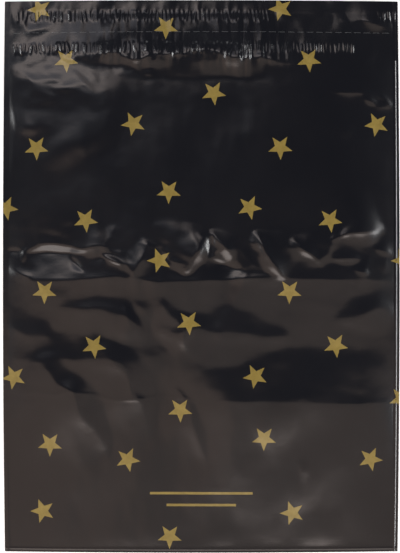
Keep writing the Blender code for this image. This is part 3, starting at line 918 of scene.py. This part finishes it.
def gold_material():
    """Mottled olive-gold ink, almost as glossy as the film."""
    material, nodes, links, shader = new_material("gold_ink_looks")
    where = nodes.new("ShaderNodeTexCoord").outputs["Object"]
    mottle = noise_node(nodes, links, where, scale=260, detail=5, roughness=0.6).outputs["Fac"]
    dark = (0.18, 0.132, 0.031, 1)
    light = (0.24, 0.18, 0.045, 1)
    ramp_to(nodes, links, mottle, dark, light, shader.inputs["Base Color"])
    haze = noise_node(nodes, links, where, scale=120, detail=4).outputs["Fac"]
    ramp_to(nodes, links, haze, grey(0.16), grey(0.24), shader.inputs["Roughness"])
    grain = noise_node(nodes, links, where, scale=1400, detail=2).outputs["Fac"]
    bump = bump_node(nodes, links, grain, strength=0.15, distance=0.00008)
    links.new(bump.outputs["Normal"], shader.inputs["Normal"])
    shader.inputs["IOR"].default_value = 1.55
    return material


def liner_material():
    """Milky release film with faint clouds."""
    material, nodes, links, shader = new_material("release_liner_looks")
    where = nodes.new("ShaderNodeTexCoord").outputs["Object"]
    clouds = noise_node(nodes, links, where, scale=60, detail=4).outputs["Fac"]
    dark = (0.62, 0.63, 0.63, 1)
    light = (0.72, 0.72, 0.71, 1)
    ramp_to(nodes, links, clouds, dark, light, shader.inputs["Base Color"])
    ramp_to(nodes, links, clouds, grey(0.28), grey(0.4), shader.inputs["Roughness"])
    crinkle_noise = noise_node(nodes, links, where, scale=220, detail=3).outputs["Fac"]
    bump = bump_node(nodes, links, crinkle_noise, strength=0.2, distance=0.0002)
    links.new(bump.outputs["Normal"], shader.inputs["Normal"])
    return material


def adhesive_material():
    """Yellowish hot melt with a lumpy surface."""
    material, nodes, links, shader = new_material("hot_melt_looks")
    where = nodes.new("ShaderNodeTexCoord").outputs["Object"]
    lumps = noise_node(nodes, links, where, scale=300, detail=4).outputs["Fac"]
    dark = (0.55, 0.5, 0.36, 1)
    light = (0.68, 0.64, 0.5, 1)
    ramp_to(nodes, links, lumps, dark, light, shader.inputs["Base Color"])
    ramp_to(nodes, links, lumps, grey(0.25), grey(0.45), shader.inputs["Roughness"])
    bump = bump_node(nodes, links, lumps, strength=0.4, distance=0.0003)
    links.new(bump.outputs["Normal"], shader.inputs["Normal"])
    return material


def floor_material():
    """Plain pale floor that glows a little for the camera only, so that it shows white."""
    material, nodes, links, shader = new_material("pale_floor")
    shader.inputs["Base Color"].default_value = (0.86, 0.86, 0.86, 1)
    shader.inputs["Roughness"].default_value = 0.9
    path = nodes.new("ShaderNodeLightPath")
    lift = nodes.new("ShaderNodeMath")
    lift.operation = "MULTIPLY"
    lift.inputs[1].default_value = FLOOR_GLOW
    links.new(path.outputs["Is Camera Ray"], lift.inputs[0])
    shader.inputs["Emission Color"].default_value = (1, 1, 1, 1)
    links.new(lift.outputs["Value"], shader.inputs["Emission Strength"])
    return material


def make_floor():
    mesh = bpy.data.meshes.new("floor")
    half = FLOOR_HALF
    turns = ((-half, -half), (half, -half), (half, half), (-half, half))
    corners = [(x, y, FLOOR_HEIGHT) for x, y in turns]
    mesh.from_pydata(corners, [], [(0, 1, 2, 3)])
    floor = bpy.data.objects.new("floor", mesh)
    bpy.context.scene.collection.objects.link(floor)
    mesh.materials.append(floor_material())


def panel_light(name, place, aim, size, radiance, colour):
    """A soft rectangular light of one brightness, as seen in a mirror, aimed at a point."""
    lamp = bpy.data.lights.new(name, "AREA")
    lamp.shape = "RECTANGLE"
    lamp.size = size[0]
    lamp.size_y = size[1]
    lamp.energy = radiance * math.pi * size[0] * size[1]
    lamp.color = colour
    item = bpy.data.objects.new(name, lamp)
    item.location = place
    item.rotation_euler = (Vector(aim) - Vector(place)).to_track_quat("-Z", "Y").to_euler()
    item.visible_camera = False
    bpy.context.scene.collection.objects.link(item)


def make_sky():
    """Dim cool light from all round, which the camera sees as white."""
    world = bpy.data.worlds.new("studio")
    world.use_nodes = True
    bpy.context.scene.world = world
    nodes = world.node_tree.nodes
    links = world.node_tree.links
    background = nodes["Background"]
    background.inputs["Color"].default_value = SKY_COLOUR
    background.inputs["Strength"].default_value = SKY_STRENGTH
    path = nodes.new("ShaderNodeLightPath")
    seen = nodes.new("ShaderNodeBackground")
    seen.inputs["Color"].default_value = (1, 1, 1, 1)
    seen.inputs["Strength"].default_value = 1.0
    mix = nodes.new("ShaderNodeMixShader")
    links.new(path.outputs["Is Camera Ray"], mix.inputs["Fac"])
    links.new(background.outputs["Background"], mix.inputs[1])
    links.new(seen.outputs["Background"], mix.inputs[2])
    links.new(mix.outputs["Shader"], nodes["World Output"].inputs["Surface"])


def make_lights():
    for name, place, size, radiance, colour in LEVEL_LIGHTS:
        panel_light(name, place, (place[0], place[1], 0), size, radiance, colour)
    for name, place, size, radiance in TILTED_LIGHTS:
        panel_light(name, place, (0, 0, 0), size, radiance, WHITE)


def make_camera():
    data = bpy.data.cameras.new("camera")
    data.sensor_width = SENSOR
    data.lens = SENSOR * CAMERA_HEIGHT / VIEW_LENGTH
    camera = bpy.data.objects.new("camera", data)
    camera.location = (VIEW_CENTRE[0], VIEW_CENTRE[1], CAMERA_HEIGHT)
    camera.rotation_euler = (0, 0, 0)
    bpy.context.scene.collection.objects.link(camera)
    bpy.context.scene.camera = camera


def set_material(item, material):
    item.data.materials.clear()
    item.data.materials.append(material)


def dress(frame):
    nodes = frame["nodes"]
    film = film_material()
    gold = gold_material()

    xs, ts, faces = front_sheet_grid()
    front = closed_sheet("front_film", xs, ts, faces, film_height(xs, ts), FILM)
    set_material(front, film)
    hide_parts("front_sheet")
    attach(front, "root")

    tree = BVHTree.FromObject(front, bpy.context.evaluated_depsgraph_get())
    loops = [cut_to_sheet(star_loop(x, t, turn)) for x, t, turn in star_places()]
    stars = printed_on("gold_stars", loops, tree)
    set_material(stars, gold)
    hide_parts(*[n for n in nodes if n.startswith("star_")])
    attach(stars, "root")

    loops = [rule_loop(LONG_RULE, LONG_RULE_FROM_BOTTOM), rule_loop(SHORT_RULE, SHORT_RULE_FROM_BOTTOM)]
    rules = printed_on("gold_rules", loops, tree)
    set_material(rules, gold)
    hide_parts("long_rule_print", "short_rule_print")
    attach(rules, "root")

    set_material(nodes["back_sheet"], film)
    for use in ("return", "closing"):
        set_material(nodes[use + "_adhesive"], adhesive_material())
        set_material(nodes[use + "_liner"], liner_material())


def build():
    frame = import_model()
    make_camera()
    dress(frame)
    make_floor()
    make_sky()
    make_lights()
    bpy.context.scene.view_settings.view_transform = "Standard"


build()
